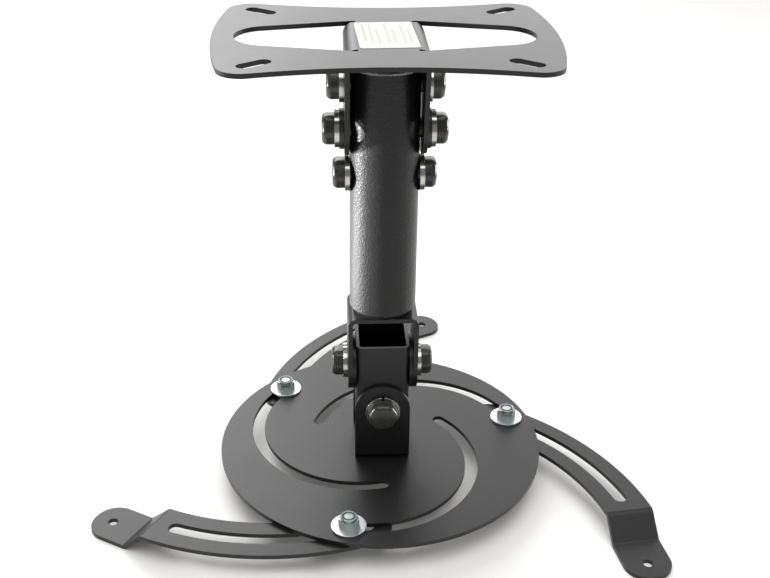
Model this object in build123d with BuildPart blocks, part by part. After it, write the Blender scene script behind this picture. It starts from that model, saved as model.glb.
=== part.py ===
from build123d import *
from math import atan2, cos, degrees, radians, sin, tan
import os

os.makedirs("parts", exist_ok=True)

# Millimetres. The origin is the centre of the ceiling plate's top face, Z up, X along the plate.

# Sheet and running clearances
sheet = 2.0
flat_gap = 0.05
swing_gap = 0.3
bolt_gap = 0.2
block_gap = 0.1
thread_gap = 0.1

# Shank sizes that holes and slots follow
bolt_radius = 4.0
stud_radius = 2.5
bolt_hole = bolt_radius + bolt_gap

# Heights of axes and ends, each from the one above it
tilt_axis_z = -20.0
bolt_pitch = 20.0
tube_head = 7.5
tube_length = 113.7
yoke_drop = 28.8
axis_offset = 19.0
clevis_drop = 27.5
lock_axis_z = tilt_axis_z - bolt_pitch
tube_bolt_z = lock_axis_z - bolt_pitch
tube_top_z = tilt_axis_z + tube_head
tube_bottom_z = tube_top_z - tube_length
pitch_axis_z = tube_bottom_z - yoke_drop
roll_axis_z = pitch_axis_z - axis_offset
disc_top_z = roll_axis_z - clevis_drop

# Ceiling plate: waisted outline, leaf opening, folded legs
plate_half_length = 71.0
plate_half_width = 51.5
plate_end_bulge = 7.0
plate_waist = 9.5
plate_corner_round = 10.0
slot_inset_x = 18.8
slot_inset_y = 14.4
ceiling_slot_width = 6.0
ceiling_slot_length = 15.0
leaf_rim = 9.0
leaf_tip_round = 14.0
leaf_relief = 2.0
leaf_root_depth = 0.7
tube_radius = 15.0
leg_bend = 2.6
leg_root_half = 19.4
leg_tip_margin = 10.5
leg_tip_round = 15.0
tilt_limit = 20.0
lock_slot_spare = 0.5
lock_slot_play = 0.6
lock_slot_width = 2 * bolt_radius + lock_slot_play
leg_inner_x = tube_radius + swing_gap
leg_outer_x = leg_inner_x + sheet
leg_tip_z = lock_axis_z - leg_tip_margin

# Mast tube, yoke, cross block and clevis
tube_wall = 2.5
tube_foot_bevel = 2.4
tube_foot_lip = 0.9
block_half = 12.25
block_wall = 1.5
block_round = 3.0
block_head = 13.3
block_foot = 12.5
spacer_thick = 1.65
spacer_radius = 13.0
yoke_half_depth = 13.0
yoke_bend = 1.5
clevis_half_width = 12.8
clevis_bend = 1.5
rivet_radius = 5.0
rivet_head_rim = 2.0
rivet_head_thick = 2.0
yoke_inner_x = block_half + spacer_thick + flat_gap
yoke_outer_x = yoke_inner_x + sheet
block_top_z = pitch_axis_z + block_head
block_bottom_z = roll_axis_z - block_foot
clevis_inner_y = block_half + block_gap
clevis_outer_y = clevis_inner_y + sheet
rivet_head_radius = rivet_radius + rivet_head_rim

# M8 fasteners of the mast and the joint
hex_flats = 13.0
hex_height = 5.3
hex_end_round = 2.4
nut_bore_depth = 3.6
bolt_end_gap = 0.3
spring_radius = 8.1
spring_thick = 2.1
spring_slit = 1.3
flat_washer_radius = 8.7
flat_washer_thick = 2.0

# Disc: three arc slots that spiral inward
disc_radius = 77.0
spiral_centre_radius = 17.4
spiral_centre_angle = -113.1
spiral_inset = 27.8
spiral_inner_angle = 41.5
spiral_spare_angle = 1.0
spiral_play = 1.0
stud_angle = -102.2
spiral_radius = disc_radius - spiral_inset
spiral_width = 2 * stud_radius + spiral_play

# Arms: flat arc with a slot, a joggle down and a pad
arm_radius = 116.0
arm_width = 21.6
arm_slot_play = 1.2
arm_slot_width = 2 * stud_radius + arm_slot_play
arm_slot_span = 42.1
arm_slot_spare = 1.5
arm_neck = 10.5
pad_toe_in = 3.0
joggle_run = 10.3
joggle_drop = 9.4
joggle_bend = 1.5
pad_hole_offset = 14.0
pad_end_offset = 9.2
pad_corner = 10.3
pad_hole_radius = 2.3

# Each arm as it stands, in degrees: its slot on the disc, its bearing at the stud, its run inside the stud
arm_stances = {"left": (0.0, -74.1, 3.6), "right": (120.0, 54.3, 3.6), "back": (240.0, 166.4, 0.0)}

# M5 studs of the arms
stud_head_rim = 2.5
stud_head_thick = 2.7
stud_head_chamfer = 1.0
stud_top = 6.0
arm_washer_radius = 7.8
arm_washer_thick = 1.0
arm_nut_flats = 8.0
arm_nut_hex = 3.8
arm_nut_collar = 1.4
arm_nut_collar_wall = 1.2
stud_bore = stud_radius + thread_gap


def polar(radius, angle):
    return radius * cos(radians(angle)), radius * sin(radians(angle))


def across(x, z):
    """Plane at x whose normal points away from the middle along X, seated at height z."""
    side = 1 if x > 0 else -1
    return Plane(origin=(x, 0, z), x_dir=(0, 0, 1), z_dir=(side, 0, 0))


def fore_aft(y, z):
    """Plane at y whose normal points away from the middle along Y, seated at height z."""
    side = 1 if y > 0 else -1
    return Plane(origin=(0, y, z), x_dir=(0, 0, 1), z_dir=(0, side, 0))


# Leg form: the plate's web and two tongues folded down, with the pivot hole and the lock slot
bend_outer = leg_bend + sheet
lock_swing = tilt_limit + lock_slot_spare
lock_path = CenterArc((0, tilt_axis_z), bolt_pitch, -90 - lock_swing, 2 * lock_swing)
with BuildPart() as leg_form:
    with BuildSketch(Plane.XZ) as leg_fold:
        with Locations((0, leg_tip_z / 2)):
            Rectangle(2 * leg_outer_x, -leg_tip_z)
        fillet(leg_fold.vertices().group_by(Axis.Y)[-1], bend_outer)
        with BuildSketch(mode=Mode.SUBTRACT) as leg_hollow:
            with Locations((0, leg_tip_z / 2 - sheet)):
                Rectangle(2 * leg_inner_x, -leg_tip_z)
            fillet(leg_hollow.vertices().group_by(Axis.Y)[-1], leg_bend)
    extrude(amount=2 * leg_root_half, both=True)
    with BuildSketch(Plane.YZ):
        with BuildSketch():
            with Locations((0, leg_tip_z + leg_tip_round)):
                Circle(leg_tip_round)
            with Locations((0, -bend_outer / 2)):
                Rectangle(2 * leg_root_half, bend_outer)
            make_hull()
        with Locations((0, tilt_axis_z)):
            Circle(bolt_hole, mode=Mode.SUBTRACT)
        SlotArc(lock_path, lock_slot_width, mode=Mode.SUBTRACT)
    extrude(amount=2 * leg_outer_x, both=True, mode=Mode.INTERSECT)

# Ceiling plate: one blank whose legs are folded out of the leaf opening
corner_x = plate_half_length - plate_end_bulge
corner_y = plate_half_width
half_waist = corner_y - plate_waist
slot_x = plate_half_length - slot_inset_x
slot_y = corner_y - slot_inset_y
slot_angle = degrees(atan2(slot_y, slot_x))
leaf_tip_x = plate_half_length - leaf_rim
leaf_root_x = leg_outer_x - bend_outer
with BuildPart() as ceiling_plate:
    with BuildSketch() as plate_blank:
        with BuildLine():
            ThreePointArc((-corner_x, corner_y), (0, half_waist), (corner_x, corner_y))
            ThreePointArc((corner_x, corner_y), (plate_half_length, 0), (corner_x, -corner_y))
            ThreePointArc((corner_x, -corner_y), (0, -half_waist), (-corner_x, -corner_y))
            ThreePointArc((-corner_x, -corner_y), (-plate_half_length, 0), (-corner_x, corner_y))
        make_face()
        fillet(plate_blank.vertices(), plate_corner_round)
        for side in (-1, 1):
            with BuildSketch(mode=Mode.SUBTRACT):
                with Locations((side * (leaf_tip_x - leaf_tip_round), 0)):
                    Circle(leaf_tip_round)
                with Locations((side * leaf_root_x, 0)):
                    Rectangle(2 * leaf_root_depth, 2 * (leg_root_half + leaf_relief))
                make_hull()
            for end in (-1, 1):
                with Locations(Location((side * slot_x, end * slot_y), side * end * slot_angle)):
                    SlotOverall(ceiling_slot_length, ceiling_slot_width, mode=Mode.SUBTRACT)
    extrude(amount=-sheet)
    add(leg_form.part)
ceiling_plate.part.label = "ceiling_plate"
export_step(ceiling_plate.part, "parts/ceiling_plate.step")

# Mast tube: open at both ends, bevelled at the foot for the weld, drilled across for the three bolts
tube_bore = tube_radius - tube_wall
with BuildPart() as mast_tube:
    with BuildSketch(Plane.XZ):
        with BuildLine():
            Polyline(
                (tube_bore, tube_top_z),
                (tube_radius, tube_top_z),
                (tube_radius, tube_bottom_z + tube_foot_bevel),
                (tube_bore + tube_foot_lip, tube_bottom_z),
                (tube_bore, tube_bottom_z),
                close=True,
            )
        make_face()
    revolve(axis=Axis.Z)
    with BuildSketch(Plane.YZ):
        with Locations((0, tilt_axis_z), (0, lock_axis_z), (0, tube_bolt_z)):
            Circle(bolt_hole)
    extrude(amount=2 * tube_radius, both=True, mode=Mode.SUBTRACT)
mast_tube.part.label = "mast_tube"
export_step(mast_tube.part, "parts/mast_tube.step")

# Yoke: strap folded to a U, open downward, its web welded under the tube
yoke_height = yoke_drop + yoke_half_depth
with BuildPart() as yoke:
    with BuildSketch(Plane.XZ) as yoke_fold:
        with Locations((0, tube_bottom_z - yoke_height / 2)):
            Rectangle(2 * yoke_outer_x, yoke_height)
        fillet(yoke_fold.vertices().group_by(Axis.Y)[-1], yoke_bend + sheet)
        with BuildSketch(mode=Mode.SUBTRACT) as yoke_hollow:
            with Locations((0, tube_bottom_z - sheet - yoke_height / 2)):
                Rectangle(2 * yoke_inner_x, yoke_height)
            fillet(yoke_hollow.vertices().group_by(Axis.Y)[-1], yoke_bend)
    extrude(amount=2 * yoke_half_depth, both=True)
    with BuildSketch(Plane.YZ):
        with Locations((0, pitch_axis_z)):
            Circle(yoke_half_depth)
        with Locations((0, pitch_axis_z + yoke_drop / 2)):
            Rectangle(2 * yoke_half_depth, yoke_drop)
        with Locations((0, pitch_axis_z)):
            Circle(bolt_hole, mode=Mode.SUBTRACT)
    extrude(amount=2 * yoke_outer_x, both=True, mode=Mode.INTERSECT)
yoke.part.label = "yoke"
export_step(yoke.part, "parts/yoke.step")

# Cross block: a short length of square tube, drilled both ways
inner_half = block_half - block_wall
with BuildPart() as cross_block:
    with BuildSketch(Plane.XY.offset(block_bottom_z)):
        RectangleRounded(2 * block_half, 2 * block_half, block_round)
        RectangleRounded(2 * inner_half, 2 * inner_half, block_round - block_wall, mode=Mode.SUBTRACT)
    extrude(amount=block_top_z - block_bottom_z)
    with BuildSketch(Plane.YZ):
        with Locations((0, pitch_axis_z)):
            Circle(bolt_hole)
    extrude(amount=2 * block_half, both=True, mode=Mode.SUBTRACT)
    with BuildSketch(Plane.XZ):
        with Locations((0, roll_axis_z)):
            Circle(bolt_hole)
    extrude(amount=2 * block_half, both=True, mode=Mode.SUBTRACT)
cross_block.part.label = "cross_block"
export_step(cross_block.part, "parts/cross_block.step")

# Clevis: strap folded to a U, open upward, its web on the disc
clevis_height = clevis_drop + clevis_half_width
with BuildPart() as clevis:
    with BuildSketch(Plane.YZ) as clevis_fold:
        with Locations((0, disc_top_z + clevis_height / 2)):
            Rectangle(2 * clevis_outer_y, clevis_height)
        fillet(clevis_fold.vertices().group_by(Axis.Y)[0], clevis_bend + sheet)
        with BuildSketch(mode=Mode.SUBTRACT) as clevis_hollow:
            with Locations((0, disc_top_z + sheet + clevis_height / 2)):
                Rectangle(2 * clevis_inner_y, clevis_height)
            fillet(clevis_hollow.vertices().group_by(Axis.Y)[0], clevis_bend)
    extrude(amount=2 * clevis_half_width, both=True)
    with BuildSketch(Plane.XZ):
        with Locations((0, roll_axis_z)):
            Circle(clevis_half_width)
        with Locations((0, disc_top_z + clevis_drop / 2)):
            Rectangle(2 * clevis_half_width, clevis_drop)
        with Locations((0, roll_axis_z)):
            Circle(bolt_hole, mode=Mode.SUBTRACT)
    extrude(amount=2 * clevis_outer_y, both=True, mode=Mode.INTERSECT)
    with BuildSketch(Plane.XY.offset(disc_top_z)):
        Circle(rivet_radius)
    extrude(amount=sheet, mode=Mode.SUBTRACT)
clevis.part.label = "clevis"
export_step(clevis.part, "parts/clevis.step")

# Swivel rivet: hidden, holds the clevis's web to the disc and lets the disc turn
with BuildPart() as swivel_rivet:
    with BuildSketch(Plane.XY.offset(disc_top_z + sheet)):
        Circle(rivet_head_radius)
    extrude(amount=rivet_head_thick)
    with BuildSketch(Plane.XY.offset(disc_top_z + sheet)):
        Circle(rivet_radius)
    extrude(amount=-2 * sheet - 2 * flat_gap)
    with BuildSketch(Plane.XY.offset(disc_top_z - sheet - 2 * flat_gap)):
        Circle(rivet_head_radius)
    extrude(amount=-rivet_head_thick)
swivel_rivet.part.label = "swivel_rivet"
export_step(swivel_rivet.part, "parts/swivel_rivet.step")

# Disc: round plate with three arc slots that spiral inward
spiral_centre = polar(spiral_centre_radius, spiral_centre_angle)
spiral_start = stud_angle - spiral_spare_angle
spiral_path = CenterArc(spiral_centre, spiral_radius, spiral_start, spiral_inner_angle - spiral_start)
disc_face_z = disc_top_z - flat_gap
with BuildPart() as disc:
    with BuildSketch(Plane.XY.offset(disc_face_z)):
        Circle(disc_radius)
        Circle(rivet_radius + swing_gap, mode=Mode.SUBTRACT)
        with PolarLocations(0, 3):
            SlotArc(spiral_path, spiral_width, mode=Mode.SUBTRACT)
    extrude(amount=-sheet)
disc.part.label = "disc"
export_step(disc.part, "parts/disc.step")

# Fastener forms, each seated on its own plane and shared by the groups below
with BuildPart() as hex_end:
    with BuildSketch():
        RegularPolygon(hex_flats / 2, 6, major_radius=False, rotation=30)
    extrude(amount=hex_height)
    fillet(hex_end.faces().sort_by(Axis.Z)[-1].edges(), hex_end_round)

with BuildPart() as hex_nut:
    add(hex_end.part)
    with BuildSketch():
        Circle(bolt_radius + thread_gap)
    extrude(amount=nut_bore_depth, mode=Mode.SUBTRACT)

with BuildPart() as spring_ring:
    with BuildSketch():
        Circle(spring_radius)
        Circle(bolt_hole, mode=Mode.SUBTRACT)
        with Locations((spring_radius, 0)):
            Rectangle(2 * spring_radius, spring_slit, mode=Mode.SUBTRACT)
    extrude(amount=spring_thick)

# Cross bolts: the side they lie along, where each stack starts going outward, and the height
tilt_seat = leg_outer_x + flat_gap
lock_seat = tilt_seat + flat_washer_thick
pitch_seat = yoke_outer_x + flat_gap
roll_seat = clevis_outer_y + flat_gap
mast_bolts = {
    "tilt_bolt": (across, tilt_seat, tilt_axis_z),
    "lock_bolt": (across, lock_seat, lock_axis_z),
    "tube_bolt": (across, tube_radius, tube_bolt_z),
}
block_bolts = {
    "pitch_bolt": (across, pitch_seat, pitch_axis_z),
    "roll_bolt": (fore_aft, roll_seat, roll_axis_z),
}

# Bolts: a hex head on the left or front side, the shank right through into a closed nut
for bolt_name, (seat_plane, seat, height) in {**mast_bolts, **block_bolts}.items():
    head_seat = seat + spring_thick
    with BuildPart() as bolt:
        with BuildSketch(seat_plane(-head_seat, height)):
            Circle(bolt_radius)
        extrude(amount=-2 * head_seat - nut_bore_depth + bolt_end_gap)
        with Locations(seat_plane(-head_seat, height)):
            add(hex_end.part)
    bolt.part.label = bolt_name
    export_step(bolt.part, f"parts/{bolt_name}.step")

# Nuts and spring washers: one group for the mast's bolts, one for the block's
for group, bolts in (("mast", mast_bolts), ("block", block_bolts)):
    nut_planes = [plane(seat + spring_thick, height) for plane, seat, height in bolts.values()]
    ring_planes = [plane(side * seat, height) for plane, seat, height in bolts.values() for side in (-1, 1)]
    for piece, form, planes in (("nuts", hex_nut, nut_planes), ("spring_washers", spring_ring, ring_planes)):
        with BuildPart() as fasteners:
            with Locations(*planes):
                add(form.part)
        fasteners.part.label = f"{group}_{piece}"
        export_step(fasteners.part, f"parts/{group}_{piece}.step")

# Lock washers: wide flat washers that bridge the legs' lock slots
with BuildPart() as lock_washers:
    for side in (-1, 1):
        with BuildSketch(across(side * tilt_seat, lock_axis_z)):
            Circle(flat_washer_radius)
            Circle(bolt_hole, mode=Mode.SUBTRACT)
        extrude(amount=flat_washer_thick)
lock_washers.part.label = "lock_washers"
export_step(lock_washers.part, "parts/lock_washers.step")

# Pitch spacers: large washers between the block and the yoke's legs
with BuildPart() as pitch_spacers:
    for side in (-1, 1):
        with BuildSketch(across(side * block_half, pitch_axis_z)):
            Circle(spacer_radius)
            Circle(bolt_hole, mode=Mode.SUBTRACT)
        extrude(amount=spacer_thick)
pitch_spacers.part.label = "pitch_spacers"
export_step(pitch_spacers.part, "parts/pitch_spacers.step")

# Arm form: arc centre at the origin, the slot's inner end on its X axis, top face at Z 0
pad_angle = -arm_slot_span - degrees(arm_neck / arm_radius)
pad_x, pad_y = polar(arm_radius, pad_angle)
pad_heading = pad_angle - 90 - pad_toe_in
pad_dir_x, pad_dir_y = polar(1.0, pad_heading)
pad_hole = joggle_run + pad_hole_offset
pad_length = pad_hole + pad_end_offset
pad_tip = (pad_x + pad_length * pad_dir_x, pad_y + pad_length * pad_dir_y, 0)
pad_edge_dir = (pad_dir_y, -pad_dir_x, 0)
side_plane = Plane(origin=(pad_x, pad_y, 0), x_dir=(pad_dir_x, pad_dir_y, 0), z_dir=pad_edge_dir)
mitre = sheet * tan(atan2(joggle_drop, joggle_run) / 2)
spare_angle = degrees(arm_slot_spare / arm_radius)
arm_path = CenterArc((0, 0), arm_radius, pad_angle, spare_angle - pad_angle)
slot_path = CenterArc((0, 0), arm_radius, -arm_slot_span, spare_angle + arm_slot_span)
with BuildPart() as arm_form:
    with BuildSketch() as arm_blank:
        SlotArc(arm_path, arm_width)
        with Locations(Location((pad_x, pad_y), pad_heading)):
            Rectangle(pad_length, arm_width, align=(Align.MIN, Align.CENTER))
        fillet(arm_blank.vertices().sort_by_distance(pad_tip)[:2], pad_corner)
        SlotArc(slot_path, arm_slot_width, mode=Mode.SUBTRACT)
        with Locations((pad_x + pad_hole * pad_dir_x, pad_y + pad_hole * pad_dir_y)):
            Circle(pad_hole_radius, mode=Mode.SUBTRACT)
    extrude(amount=-joggle_drop - 2 * sheet)
    with BuildSketch(side_plane):
        with BuildLine():
            FilletPolyline(
                (-2 * arm_radius, -sheet / 2),
                (-mitre / 2, -sheet / 2),
                (joggle_run - mitre / 2, -joggle_drop - sheet / 2),
                (2 * pad_length, -joggle_drop - sheet / 2),
                radius=joggle_bend + sheet / 2,
            )
        trace(line_width=sheet)
    extrude(amount=2 * arm_radius, both=True, mode=Mode.INTERSECT)

# Stud, washer and lock nut forms: the stud's axis at the origin, the disc's top at Z 0
with BuildPart() as stud_form:
    with BuildSketch(Plane.XY.offset(-2 * sheet - 2 * flat_gap)):
        Circle(stud_radius + stud_head_rim)
    extrude(amount=-stud_head_thick)
    chamfer(stud_form.faces().sort_by(Axis.Z)[0].edges(), stud_head_chamfer)
    with BuildSketch(Plane.XY.offset(-2 * sheet - 2 * flat_gap)):
        Circle(stud_radius)
    extrude(amount=2 * sheet + 2 * flat_gap + stud_top)

with BuildPart() as arm_washer_form:
    with BuildSketch(Plane.XY.offset(flat_gap)):
        Circle(arm_washer_radius)
        Circle(stud_bore, mode=Mode.SUBTRACT)
    extrude(amount=arm_washer_thick)

with BuildPart() as arm_nut_form:
    with BuildSketch(Plane.XY.offset(flat_gap + arm_washer_thick)):
        RegularPolygon(arm_nut_flats / 2, 6, major_radius=False)
    extrude(amount=arm_nut_hex)
    with BuildSketch(Plane.XY.offset(flat_gap + arm_washer_thick + arm_nut_hex)):
        Circle(stud_bore + arm_nut_collar_wall)
    extrude(amount=arm_nut_collar)
    with BuildSketch(Plane.XY.offset(flat_gap)):
        Circle(stud_bore)
    extrude(amount=2 * stud_top, mode=Mode.SUBTRACT)

# The three arms as they stand: each stud at its slot's outer end, each arm turned about its stud
for arm_name, (slot_turn, bearing, run_in) in arm_stances.items():
    centre_x, centre_y = polar(spiral_centre_radius, spiral_centre_angle + slot_turn)
    reach_x, reach_y = polar(spiral_radius, stud_angle + slot_turn)
    stud_x = centre_x + reach_x
    stud_y = centre_y + reach_y
    arc_x, arc_y = polar(arm_radius, bearing)
    arm_origin = (stud_x - arc_x, stud_y - arc_y, disc_face_z - sheet - flat_gap)
    arm_plane = Plane(origin=arm_origin, x_dir=(*polar(1.0, bearing + run_in), 0))
    with BuildPart() as arm:
        with Locations(arm_plane):
            add(arm_form.part)
    arm.part.label = f"arm_{arm_name}"
    export_step(arm.part, f"parts/arm_{arm_name}.step")
    for piece, form in (("screw", stud_form), ("washer", arm_washer_form), ("nut", arm_nut_form)):
        with BuildPart() as stud_piece:
            with Locations((stud_x, stud_y, disc_face_z)):
                add(form.part)
        stud_piece.part.label = f"arm_{piece}_{arm_name}"
        export_step(stud_piece.part, f"parts/arm_{piece}_{arm_name}.step")
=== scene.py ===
from math import cos, pi, radians

import bmesh
import bpy
from mathutils import Matrix, Vector


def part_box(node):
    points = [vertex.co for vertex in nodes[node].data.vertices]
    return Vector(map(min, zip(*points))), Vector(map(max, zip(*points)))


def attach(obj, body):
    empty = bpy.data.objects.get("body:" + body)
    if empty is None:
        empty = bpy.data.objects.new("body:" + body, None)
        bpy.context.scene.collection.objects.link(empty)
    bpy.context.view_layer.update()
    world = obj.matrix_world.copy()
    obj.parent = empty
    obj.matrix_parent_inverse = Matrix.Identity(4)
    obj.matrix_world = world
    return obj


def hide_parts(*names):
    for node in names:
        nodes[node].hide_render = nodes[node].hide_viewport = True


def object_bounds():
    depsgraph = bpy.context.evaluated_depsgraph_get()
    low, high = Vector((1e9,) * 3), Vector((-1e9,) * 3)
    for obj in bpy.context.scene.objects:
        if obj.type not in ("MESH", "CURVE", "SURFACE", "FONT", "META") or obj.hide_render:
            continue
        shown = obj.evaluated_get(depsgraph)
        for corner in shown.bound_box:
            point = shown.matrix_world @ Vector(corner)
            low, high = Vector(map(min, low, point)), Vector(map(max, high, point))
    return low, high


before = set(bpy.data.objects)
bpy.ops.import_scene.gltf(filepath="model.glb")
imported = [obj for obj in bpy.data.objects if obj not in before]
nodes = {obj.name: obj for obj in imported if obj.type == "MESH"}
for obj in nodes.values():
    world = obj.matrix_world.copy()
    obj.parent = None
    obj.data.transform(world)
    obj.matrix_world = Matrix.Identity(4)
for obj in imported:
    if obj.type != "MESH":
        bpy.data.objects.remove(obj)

solid_low, solid_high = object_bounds()

# Ceiling plate: one blank of 2 mm sheet steel, its two legs folded down out of the leaf opening.
# It is blasted, powder coated satin black and baked, so the coat flows round every edge.
mm = 0.001
coat_round = 0.2 * mm


def to_linear(hex_colour):
    """An sRGB hex colour as the linear RGBA that a shader socket takes."""
    channels = [int(hex_colour[i:i + 2], 16) / 255 for i in (1, 3, 5)]
    return [c / 12.92 if c <= 0.04045 else ((c + 0.055) / 1.055) ** 2.4 for c in channels] + [1.0]


def add_node(tree, kind, settings=None, **inputs):
    """Add a node, set its properties, and set or link each named input."""
    node = tree.nodes.new("ShaderNode" + kind)
    for name, value in (settings or {}).items():
        setattr(node, name, value)
    for name, value in inputs.items():
        label = name.replace("_", " ")
        socket = next(s for s in node.inputs if s.enabled and s.name == label)
        if isinstance(value, bpy.types.NodeSocket):
            tree.links.new(value, socket)
        else:
            socket.default_value = value
    return node


def new_material(name):
    """An empty node material and its tree."""
    material = bpy.data.materials.new(name)
    material.use_nodes = True
    material.node_tree.nodes.clear()
    return material, material.node_tree


def mottle(tree, patch_mm, detail, fineness):
    """A cloudy pattern in Object coordinates, with patches of the given width."""
    place = add_node(tree, "TexCoord").outputs["Object"]
    noise = add_node(tree, "TexNoise", Vector=place, Scale=1 / (patch_mm * mm), Detail=detail,
                     Roughness=fineness)
    return noise.outputs["Fac"]


def blend(tree, pattern, first_colour, second_colour):
    """The tone that a pattern mixes from two hex colours."""
    mix = add_node(tree, "Mix", {"data_type": "RGBA"}, Factor=pattern,
                   A=to_linear(first_colour), B=to_linear(second_colour))
    return next(s for s in mix.outputs if s.enabled)


def sheen(tree, pattern, rough_low, rough_high):
    """The roughness that a pattern varies between two values."""
    spread = add_node(tree, "MapRange", Value=pattern, To_Min=rough_low, To_Max=rough_high)
    return next(s for s in spread.outputs if s.enabled)


def add_surface(tree, **inputs):
    """End a material's tree with its shader and output."""
    shader = add_node(tree, "BsdfPrincipled", **inputs)
    add_node(tree, "OutputMaterial", Surface=shader.outputs["BSDF"])


def coat(node_name, material):
    """Give a node of the frame its finish."""
    nodes[node_name].data.materials.clear()
    nodes[node_name].data.materials.append(material)


def powder_coat(name, grain_mm, grain_depth_mm, rough_low, rough_high, reflection):
    """Baked polyester powder: black and satin, with the soft grain of powder that has flowed.
    To the eye it is dark face on and pale at a low angle, with blurred reflections."""
    material, tree = new_material(name)
    cloud = mottle(tree, patch_mm=14, detail=3.0, fineness=0.6)
    grain = mottle(tree, patch_mm=grain_mm, detail=2.0, fineness=0.5)
    edge = add_node(tree, "Bevel", {"samples": 4}, Radius=coat_round)
    bump = add_node(tree, "Bump", Height=grain, Strength=1.0, Distance=grain_depth_mm * mm,
                    Normal=edge.outputs["Normal"])
    add_surface(tree, Base_Color=blend(tree, cloud, "#161616", "#1c1c1d"),
                Roughness=sheen(tree, cloud, rough_low, rough_high),
                Normal=bump.outputs["Normal"], IOR=1.45, Specular_IOR_Level=reflection)
    return material


sheet_coat = powder_coat("satin black powder coat on sheet", grain_mm=1.6, grain_depth_mm=0.025,
                         rough_low=0.34, rough_high=0.40, reflection=0.5)
coat("ceiling_plate", sheet_coat)

# Sticker: a label of coated off-white paper, die cut with round corners, pressed onto the web.
# It lies a little askew and carries rows of pale grey bars.
sticker_width = 24.3 * mm
sticker_length = 36.7 * mm
sticker_thick = 0.12 * mm
sticker_corner = 1.6 * mm
corner_steps = 5
sticker_turn = radians(2.5)
plate_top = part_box("ceiling_plate")[1].z
sticker_centre = (0.1 * mm, 0.6 * mm, plate_top)
bar_rise = 0.02 * mm
# Each bar: its place across and along the sticker, its length and its width, in millimetres.
bars = ((-9.0, 4.0, 24.0, 1.3), (-6.2, 1.5, 27.0, 0.8), (-3.6, -2.0, 22.0, 0.8),
        (0.4, 2.5, 26.0, 0.8), (3.0, -1.0, 20.0, 0.8), (6.8, 0.5, 25.0, 0.8),
        (9.4, -3.0, 18.0, 0.8))


def raise_faces(form, faces, height):
    """Pull flat faces up into a closed block that keeps them as its base."""
    grown = bmesh.ops.extrude_face_region(form, geom=faces, use_keep_orig=True)["geom"]
    raised = [part for part in grown if isinstance(part, bmesh.types.BMVert)]
    bmesh.ops.translate(form, vec=(0, 0, height), verts=raised)


def finish_piece(form, name, material, body, sharp_above=None):
    """Turn a form into an object that rides on a body of the frame.
    Where an angle is given, edges flatter than that are shaded smooth."""
    mesh = bpy.data.meshes.new(name)
    form.to_mesh(mesh)
    form.free()
    mesh.materials.append(material)
    if sharp_above is not None:
        mesh.shade_smooth()
        mesh.set_sharp_from_angle(angle=sharp_above)
    piece = bpy.data.objects.new(name, mesh)
    bpy.context.scene.collection.objects.link(piece)
    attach(piece, body)
    return piece


def coated_paper(name, colour, shade):
    """Coated label paper: pale, faintly mottled by its fibres, with a low even sheen.
    The fibres are drawn 0.7 mm wide, coarser than real ones, so that they show."""
    material, tree = new_material(name)
    fibre = mottle(tree, patch_mm=0.7, detail=4.0, fineness=0.5)
    bump = add_node(tree, "Bump", Height=fibre, Strength=0.3, Distance=0.01 * mm)
    add_surface(tree, Base_Color=blend(tree, fibre, shade, colour), Roughness=0.5, IOR=1.5,
                Normal=bump.outputs["Normal"])
    return material


sticker_place = Matrix.Translation(sticker_centre) @ Matrix.Rotation(sticker_turn, 4, "Z")
sticker_form = bmesh.new()
bmesh.ops.create_grid(sticker_form, x_segments=1, y_segments=1, size=0.5)
bmesh.ops.scale(sticker_form, vec=(sticker_width, sticker_length, 1), verts=sticker_form.verts)
bmesh.ops.bevel(sticker_form, geom=sticker_form.verts[:], offset=sticker_corner,
                affect="VERTICES", segments=corner_steps, profile=0.5, material=-1)
raise_faces(sticker_form, sticker_form.faces[:], sticker_thick)
bmesh.ops.recalc_face_normals(sticker_form, faces=sticker_form.faces)
bmesh.ops.transform(sticker_form, matrix=sticker_place, verts=sticker_form.verts)
label_paper = coated_paper("off-white label paper", "#d3d1cb", "#c8c6bf")
finish_piece(sticker_form, "sticker", label_paper, "ceiling")

bar_form = bmesh.new()
for bar_x, bar_y, bar_length, bar_width in bars:
    bar = bmesh.ops.create_cube(bar_form, size=1.0)["verts"]
    bmesh.ops.scale(bar_form, vec=(bar_width * mm, bar_length * mm, 2 * bar_rise), verts=bar)
    bmesh.ops.translate(bar_form, vec=(bar_x * mm, bar_y * mm, sticker_thick), verts=bar)
bmesh.ops.transform(bar_form, matrix=sticker_place, verts=bar_form.verts)
print_grey = coated_paper("grey print on label paper", "#bdbcb8", "#aeada9")
finish_piece(bar_form, "sticker_bars", print_grey, "ceiling")

# Mast tube: 30 mm round steel tube, cut square and drilled across three times.
# Its powder coat is sandier than the plate's, so its lit side looks grainy.
# The grains are drawn 0.9 mm wide, about three times as coarse as real ones, so that they show.
tube_coat = powder_coat("sandy black powder coat on tube", grain_mm=0.9, grain_depth_mm=0.22,
                        rough_low=0.28, rough_high=0.34, reflection=0.4)
coat("mast_tube", tube_coat)

# Yoke: a strap of sheet steel folded to a U and welded under the tube before coating.
# The coat runs over the weld, so the two read as one form.
coat("yoke", sheet_coat)

# Cross bolts and closed nuts: hex steel with well rounded ends, dipped in black electrocoat.
# Two clamp the tube in the plate's legs, one crosses it below them, and two hold the block.
hex_flats = 13.0 * mm
hex_height = 5.3 * mm
hex_round = 2.3 * mm
round_steps = 5
shank_radius = 4.0 * mm
shank_sides = 40
hex_sharp_above = radians(35)
# Each bolt: its node, the group that its nut is in, and the axis it lies along, 0 for X, 1 for Y.
cross_bolts = (("tilt_bolt", "mast_nuts", 0), ("lock_bolt", "mast_nuts", 0),
               ("tube_bolt", "mast_nuts", 0), ("pitch_bolt", "block_nuts", 0),
               ("roll_bolt", "block_nuts", 1))
bolt_bodies = {"mast_nuts": "mast", "block_nuts": "cross"}


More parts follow.
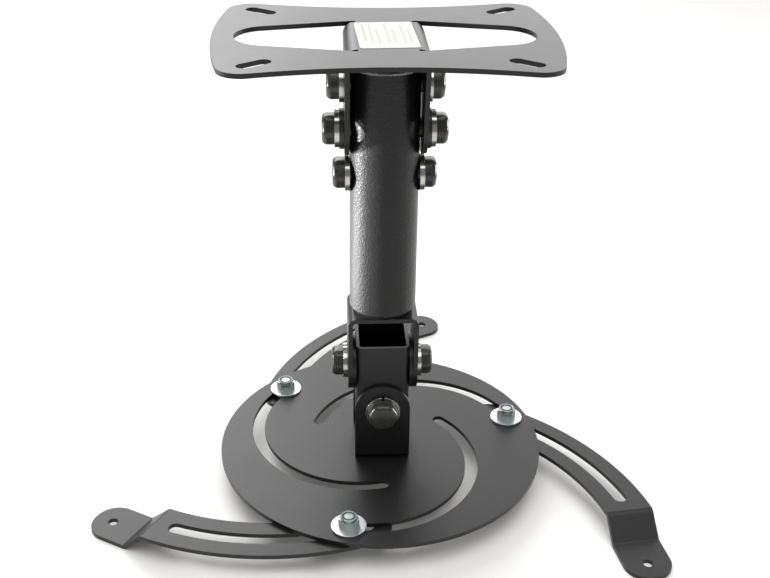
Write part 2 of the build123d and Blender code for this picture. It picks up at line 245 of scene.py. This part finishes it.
def electrocoat(name, colour, rubbed_colour, rough_low, rough_high):
    """Black electrocoat paint: thin, smooth and half glossy, a little greyer where it is rubbed."""
    material, tree = new_material(name)
    cloud = mottle(tree, patch_mm=2.2, detail=4.0, fineness=0.6)
    bump = add_node(tree, "Bump", Height=cloud, Strength=0.4, Distance=0.02 * mm)
    add_surface(tree, Base_Color=blend(tree, cloud, colour, rubbed_colour),
                Roughness=sheen(tree, cloud, rough_low, rough_high),
                Normal=bump.outputs["Normal"], IOR=1.5)
    return material


def domed_hex(form, place):
    """Add a hex end to a form, its rim and corners well rounded, with its seat at a place."""
    earlier = set(form.verts)
    bmesh.ops.create_circle(form, cap_ends=True, segments=6, radius=hex_flats / 2 / cos(pi / 6))
    base = [face for face in form.faces if not earlier.intersection(face.verts)]
    raise_faces(form, base, hex_height)
    fresh = [vert for vert in form.verts if vert not in earlier]
    edges = dict.fromkeys(edge for vert in fresh for edge in vert.link_edges
                          if max(tip.co.z for tip in edge.verts) > hex_height / 2)
    bmesh.ops.bevel(form, geom=list(edges), offset=hex_round, affect="EDGES",
                    segments=round_steps, profile=0.5, material=-1)
    fresh = [vert for vert in form.verts if vert not in earlier]
    faces = dict.fromkeys(face for vert in fresh for face in vert.link_faces)
    bmesh.ops.recalc_face_normals(form, faces=list(faces))
    bmesh.ops.transform(form, matrix=place, verts=fresh)


def seat_on(axis, side, end, centre):
    """The place of a hex end that points along X or Y, with its outer face at the given end."""
    if axis == 0:
        turn = Matrix.Rotation(side * pi / 2, 4, "Y")
    else:
        turn = Matrix.Rotation(-side * pi / 2, 4, "X") @ Matrix.Rotation(pi / 2, 4, "Z")
    spot = Vector(centre)
    spot[axis] = side * (end - hex_height)
    return Matrix.Translation(spot) @ turn


black_paint = electrocoat("black electrocoat", "#2a2a29", "#3b3a38",
                          rough_low=0.24, rough_high=0.34)
nut_forms = {nut_node: bmesh.new() for nut_node in bolt_bodies}
for bolt_node, nut_node, axis in cross_bolts:
    bolt_low, bolt_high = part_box(bolt_node)
    centre = (bolt_low + bolt_high) / 2
    end = -bolt_low[axis]
    bolt_form = bmesh.new()
    domed_hex(bolt_form, seat_on(axis, -1, end, centre))
    domed_hex(nut_forms[nut_node], seat_on(axis, 1, end, centre))
    shank_length = bolt_high[axis] + end - hex_height / 2
    shank_turn = Matrix.Rotation(pi / 2, 4, "Y" if axis == 0 else "X")
    centre[axis] = bolt_high[axis] - shank_length / 2
    bmesh.ops.create_cone(bolt_form, cap_ends=True, segments=shank_sides, radius1=shank_radius,
                          radius2=shank_radius, depth=shank_length,
                          matrix=Matrix.Translation(centre) @ shank_turn)
    bolt_piece = finish_piece(bolt_form, bolt_node + "_domed", black_paint, bolt_bodies[nut_node],
                              hex_sharp_above)
    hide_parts(bolt_node)
for nut_node, nut_form in nut_forms.items():
    nut_piece = finish_piece(nut_form, nut_node + "_domed", black_paint, bolt_bodies[nut_node],
                             hex_sharp_above)
    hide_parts(nut_node)

# Lock washers: flat steel washers under the lock bolt's two ends, over the legs' arc slots.
# They are dipped in the same black paint as the bolts.
coat("lock_washers", black_paint)

# Spring washers: split rings of square steel wire under each hex end, zinc plated.
# They are the bright lines between the black hex ends and the coated sheet.
plating_round = 0.3 * mm


def zinc_plate(name, colour, bright_colour, rough_low, rough_high):
    """Electroplated zinc over steel: a thin bright metal skin with small clouds in its shine."""
    material, tree = new_material(name)
    cloud = mottle(tree, patch_mm=1.8, detail=4.0, fineness=0.6)
    edge = add_node(tree, "Bevel", {"samples": 4}, Radius=plating_round)
    bump = add_node(tree, "Bump", Height=cloud, Strength=0.5, Distance=0.01 * mm,
                    Normal=edge.outputs["Normal"])
    add_surface(tree, Base_Color=blend(tree, cloud, colour, bright_colour), Metallic=1.0,
                Roughness=sheen(tree, cloud, rough_low, rough_high),
                Normal=bump.outputs["Normal"])
    return material


bright_zinc = zinc_plate("bright zinc plate", "#b0b0ad", "#cfcfcc",
                         rough_low=0.16, rough_high=0.26)
coat("mast_spring_washers", bright_zinc)
coat("block_spring_washers", bright_zinc)

# Cross block: a short length of square steel tube, drilled both ways for the pitch and roll bolts.
# It is powder coated like the plate, inside and out.
coat("cross_block", sheet_coat)

# Pitch spacers: two large steel washers that keep the block clear of the yoke's legs.
# They are powder coated like the block and held by the pitch bolt.
coat("pitch_spacers", sheet_coat)

# Clevis: a strap of sheet steel folded to a U, its ears on the roll bolt and its web on the disc.
# It is powder coated like the plate.
coat("clevis", sheet_coat)

# Swivel rivet: a headed steel pivot through the clevis's web and the disc, zinc plated.
# It is set so that the disc still turns on it.
coat("swivel_rivet", bright_zinc)

# Disc: a round plate of sheet steel, with three arc slots cut through it that spiral inward.
# It is powder coated like the plate, also on the slots' walls.
coat("disc", sheet_coat)

# Arms: arcs of sheet steel, each with a long slot, a joggle pressed down and a pad with a hole.
# They are powder coated like the disc, and a stud each holds them under it.
arm_names = ("left", "right", "back")
for arm_name in arm_names:
    coat(f"arm_{arm_name}", sheet_coat)

# Studs and washers: headed M5 studs up through arm and disc, each with a wide flat washer.
# They are zinc plated and blue passivated, which leaves a cool, faintly green shine.
blue_zinc = zinc_plate("blue passivated zinc plate", "#d2dbd9", "#e4e9e8",
                       rough_low=0.30, rough_high=0.40)
# The studs and lock nuts take a darker copy of the same zinc, which is painted shade.
shaded_zinc = zinc_plate("blue zinc plate darkened as painted shade", "#8f9a99", "#b0b9b8",
                       rough_low=0.24, rough_high=0.34)
for arm_name in arm_names:
    coat(f"arm_screw_{arm_name}", shaded_zinc)
    coat(f"arm_washer_{arm_name}", blue_zinc)

# Lock nuts: zinc plated hex steel with a rounded collar that is rolled over a nylon ring.
# The ring grips the stud's end, which stops just short of the collar's lip.
nut_flats = 8.0 * mm
nut_hex = 3.8 * mm
nut_bore = 2.6 * mm
bore_sides = 36
collar_rise = 1.4 * mm
collar_outer = 3.8 * mm
collar_inner = 2.9 * mm
nylon_inner = 2.05 * mm
nylon_half = 0.1 * mm
nylon_sharp_above = radians(60)
section_sides = 10
spin_steps = 40


def ring(form, inner, outer, height, half_height):
    """A ring of oval section about the Z axis, spun from one small circle."""
    section = bmesh.ops.create_circle(form, segments=section_sides, radius=1.0)["verts"]
    bmesh.ops.scale(form, vec=((outer - inner) / 2, half_height, 1), verts=section)
    bmesh.ops.rotate(form, matrix=Matrix.Rotation(pi / 2, 3, "X"), verts=section)
    bmesh.ops.translate(form, vec=((inner + outer) / 2, 0, height), verts=section)
    wire = section + list(dict.fromkeys(edge for vert in section for edge in vert.link_edges))
    bmesh.ops.spin(form, geom=wire, cent=(0, 0, 0), axis=(0, 0, 1), angle=2 * pi,
                   steps=spin_steps, use_merge=True)
    bmesh.ops.recalc_face_normals(form, faces=form.faces)


def nylon(name, colour, scuffed_colour):
    """Moulded nylon: dull and waxy, a little uneven where the stud has cut into it."""
    material, tree = new_material(name)
    cloud = mottle(tree, patch_mm=0.5, detail=2.0, fineness=0.5)
    add_surface(tree, Base_Color=blend(tree, cloud, colour, scuffed_colour), Roughness=0.5,
                IOR=1.53)
    return material


# The ring is drawn dark grey, as dark as it shows down inside the collar.
dark_nylon = nylon("dark grey nylon", "#3a3d40", "#4a4d50")
for arm_name in arm_names:
    nut_low, nut_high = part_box(f"arm_nut_{arm_name}")
    nut_centre = (nut_low + nut_high) / 2
    nut_place = Matrix.Translation((nut_centre.x, nut_centre.y, nut_low.z))
    nut_form = bmesh.new()
    rim = bmesh.ops.create_circle(nut_form, segments=6, radius=nut_flats / 2 / cos(pi / 6))["verts"]
    bmesh.ops.rotate(nut_form, matrix=Matrix.Rotation(pi / 6, 3, "Z"), verts=rim)
    bmesh.ops.create_circle(nut_form, segments=bore_sides, radius=nut_bore)
    base = bmesh.ops.bridge_loops(nut_form, edges=nut_form.edges)["faces"]
    raise_faces(nut_form, base, nut_hex)
    ring(nut_form, collar_inner, collar_outer, nut_hex + collar_rise / 2, collar_rise / 2)
    bmesh.ops.transform(nut_form, matrix=nut_place, verts=nut_form.verts)
    # The nut takes the darker copy of the zinc: painted shade.
    nut_piece = finish_piece(nut_form, f"lock_nut_{arm_name}", shaded_zinc, f"clamp_{arm_name}",
                             hex_sharp_above)
    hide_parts(f"arm_nut_{arm_name}")
    nylon_form = bmesh.new()
    stud_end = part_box(f"arm_screw_{arm_name}")[1].z - nut_low.z
    ring(nylon_form, nylon_inner, collar_inner, stud_end + nylon_half, nylon_half)
    bmesh.ops.transform(nylon_form, matrix=nut_place, verts=nylon_form.verts)
    finish_piece(nylon_form, f"nylon_ring_{arm_name}", dark_nylon, f"clamp_{arm_name}",
                 sharp_above=nylon_sharp_above)

# Floor: a wide sheet of matt white card that the pads stand on, as on a photographer's table.
# It has a slow, faint mottle and hardly any shine.
floor_half = 6.0
floor_form = bmesh.new()
bmesh.ops.create_grid(floor_form, x_segments=1, y_segments=1, size=floor_half)
bmesh.ops.translate(floor_form, vec=(0, 0, solid_low.z), verts=floor_form.verts)
floor_mesh = bpy.data.meshes.new("floor")
floor_form.to_mesh(floor_mesh)
floor_form.free()
card, card_tree = new_material("matt white card")
card_cloud = mottle(card_tree, patch_mm=40, detail=3.0, fineness=0.5)
add_surface(card_tree, Base_Color=blend(card_tree, card_cloud, "#e6e5e3", "#ecebe9"),
            Roughness=0.55)
floor_mesh.materials.append(card)
floor = bpy.data.objects.new("floor", floor_mesh)
bpy.context.scene.collection.objects.link(floor)

# Light: softboxes behind and above the table, and strips at both sides for the tube's edges.
# Two strips at the left light the tube alone, so that they don't whiten the sheet pieces.
# One fill lights the floor alone and nothing shades it, so the floor stays pale round the disc.
mount_middle = (0, 0, -0.15)
tube_middle = (0, 0, -0.06)
left_of_tube = (-1.2, 0.11, -0.06)
overhead = (0, -0.4, 1.5)
no_grid = 180
tube = nodes["mast_tube"]
# Each softbox: its place and aim, its width and height in metres, its brightness, the angle in
# degrees that its grid lets through, and the one piece that it lights.
softboxes = {
    "strip_left": (left_of_tube, tube_middle, 0.14, 0.12, 25.0, 16, tube),
    "strip_low_left": ((-0.29, 0.05, -0.212), (-0.29, 0.05, 0), 0.28, 0.2, 8.5, no_grid, tube),
    "floor_fill": (overhead, mount_middle, 2.0, 2.0, 0.68, no_grid, floor),
    "kicker_left": (left_of_tube, tube_middle, 0.14, 0.12, 3.0, 16, None),
    "strip_right": ((1.2, 0.35, -0.06), tube_middle, 0.2, 0.3, 0.8, 16, None),
    "softbox_back_left": ((-0.47, 1.16, 0.86), mount_middle, 1.0, 0.96, 1.32, 90, None),
    "softbox_back_right": ((0.5, 1.2, 0.9), mount_middle, 0.9, 0.8, 0.27, 90, None),
    "backdrop": ((0.3, 1.9, 0.4), (0, 0, 0), 2.4, 1.2, 0.57, 90, None),
    "softbox_top": (overhead, mount_middle, 2.0, 2.0, 2.1, no_grid, None),
}
for name, (place, aim, width, height, brightness, grid, only_piece) in softboxes.items():
    lamp = bpy.data.lights.new(name, "AREA")
    lamp.shape = "RECTANGLE"
    lamp.size = width
    lamp.size_y = height
    lamp.energy = brightness * pi * width * height
    lamp.spread = radians(grid)
    softbox = bpy.data.objects.new(name, lamp)
    bpy.context.scene.collection.objects.link(softbox)
    softbox.location = place
    softbox.rotation_euler = (Vector(aim) - Vector(place)).to_track_quat("-Z", "Y").to_euler()
    softbox.visible_camera = False
    if only_piece:
        lit = bpy.data.collections.new("lit_by_" + name)
        lit.objects.link(only_piece)
        softbox.light_linking.receiver_collection = lit
fill_links = bpy.data.objects["floor_fill"].light_linking
fill_links.blocker_collection = fill_links.receiver_collection
room_grey = 0.25
world = bpy.data.worlds.new("dim room")
bpy.context.scene.world = world
world.use_nodes = True
background = world.node_tree.nodes["Background"]
background.inputs["Color"].default_value = (room_grey, room_grey, room_grey, 1)

# Camera: at the photograph's place, a little above the plate and looking down at the disc.
# Its lens is a little longer than a standard one, on a full-frame sensor.
camera_place = Vector((-28.0, -473.0, 138.6)) * mm
camera_yaw = radians(3.52)
camera_pitch = radians(28.39)
camera_roll = radians(0.87)
lens = bpy.data.cameras.new("camera")
lens.sensor_width = 36.0
lens.lens = 55.4
camera = bpy.data.objects.new("camera", lens)
bpy.context.scene.collection.objects.link(camera)
heading = Matrix.Rotation(-camera_yaw, 4, "Z") @ Matrix.Rotation(pi / 2 - camera_pitch, 4, "X")
lean = Matrix.Rotation(camera_roll, 4, "Z")
camera.matrix_world = Matrix.Translation(camera_place) @ heading @ lean
bpy.context.scene.camera = camera
bpy.context.scene.view_settings.view_transform = "Standard"
